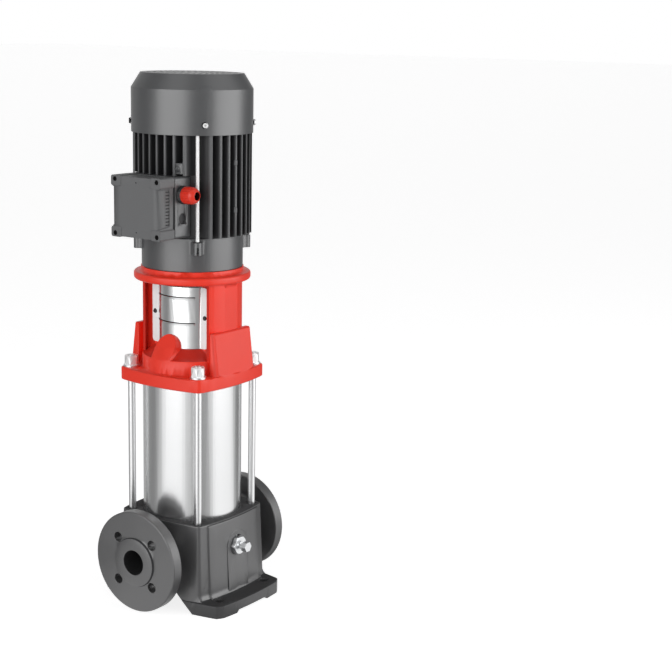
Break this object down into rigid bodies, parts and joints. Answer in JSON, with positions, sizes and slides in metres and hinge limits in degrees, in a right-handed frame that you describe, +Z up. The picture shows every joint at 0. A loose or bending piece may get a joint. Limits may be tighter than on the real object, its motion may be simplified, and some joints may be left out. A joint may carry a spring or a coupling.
{
  "type": "vertical multistage water booster pump",
  "caption": "Vertical in-line water booster pump: grey foot with two flanges, steel sleeve with tie rods, red stool with coupling guard, finned motor with terminal box.",
  "frame": {"origin": "on the floor under the pump shaft, at the middle of the foot", "axes": "+Z up along the shaft, +Y towards the discharge flange, +X towards the drain plug and cable gland"},
  "size_m": [0.22, 0.25, 0.7317],
  "materials": {
    "cast_grey": "satin painted casting",
    "stool_red": "satin red paint",
    "stainless": "drawn and brushed",
    "zinc_steel": "bright zinc plate",
    "black_steel": "black oxide",
    "coupling_steel": "machined",
    "motor_paint": "satin grey paint",
    "laminations": "stacked sheet",
    "copper_wire": "enamelled wire",
    "brass": "turned",
    "black_plastic": "moulded",
    "red_plastic": "moulded",
    "rubber": "moulded",
    "carbon": "lapped"
  },
  "bodies": {
    "root": {"base_casting": "cast_grey", "drain_plug": "zinc_steel", "outer_sleeve": "stainless", "sleeve_seals": "rubber", "tie_rods": "stainless", "tie_rod_washers": "zinc_steel", "tie_rod_nuts": "zinc_steel", "motor_stool": "stool_red", "vent_plug": "zinc_steel", "guard_front": "stainless", "guard_rear": "stainless", "guard_screws": "black_steel", "seal_cover": "cast_grey", "seal_cover_screws": "zinc_steel", "seal_seat": "carbon", "inlet_chamber": "stainless", "stage_chambers": "stainless", "top_chamber": "stainless", "stack_straps": "stainless", "neck_rings": "carbon", "bearing_outer_rings": "zinc_steel", "drive_end_shield": "motor_paint", "motor_flange_screws": "black_steel", "stator_frame": "motor_paint", "stator_core": "laminations", "stator_windings": "copper_wire", "rear_end_shield": "motor_paint", "motor_tie_bolts": "zinc_steel", "fan_cover": "motor_paint", "fan_cover_screws": "zinc_steel", "terminal_box": "motor_paint", "terminal_lid": "motor_paint", "lid_gasket": "rubber", "lid_screws": "black_steel", "terminal_block": "black_plastic", "terminal_studs": "brass", "gland_body": "black_plastic", "gland_nut": "red_plastic", "gland_seal": "rubber", "entry_blank": "black_plastic", "earth_terminal": "motor_paint"},
    "rotor": {"pump_shaft": "stainless", "impellers": "stainless", "shaft_spacers": "stainless", "impeller_nut": "stainless", "seal_head": "stainless", "coupling_half_left": "coupling_steel", "coupling_half_right": "coupling_steel", "coupling_screws": "black_steel", "coupling_pin": "zinc_steel", "motor_shaft": "zinc_steel", "shaft_key": "zinc_steel", "rotor_core": "laminations", "cooling_fan": "black_plastic", "bearing_inner_rings": "zinc_steel"},
    "ball_train": {"bearing_balls": "zinc_steel"},
    "spindle": {"bypass_spindle": "zinc_steel"},
    "vent": {"vent_screw": "zinc_steel"}
  },
  "joints": [
    {"name": "shaft_spin", "type": "hinge", "parent": "root", "child": "rotor", "pos_m": [0, 0, 0.471], "axis": [0, 0, 1], "continuous": true},
    {"name": "ball_train_spin", "type": "hinge", "parent": "root", "child": "ball_train", "pos_m": [0, 0, 0.485], "axis": [0, 0, 1], "continuous": true},
    {"name": "spindle_travel", "type": "slide", "parent": "root", "child": "spindle", "axis": [1, 0, 0], "range_m": [0, 0.004]},
    {"name": "vent_travel", "type": "slide", "parent": "root", "child": "vent", "axis": [0, 0.829, 0.5592], "range_m": [0, 0.004]}
  ],
  "couplings": [
    {"joint": "ball_train_spin", "follows": "shaft_spin", "ratio": 0.3815}
  ]
}
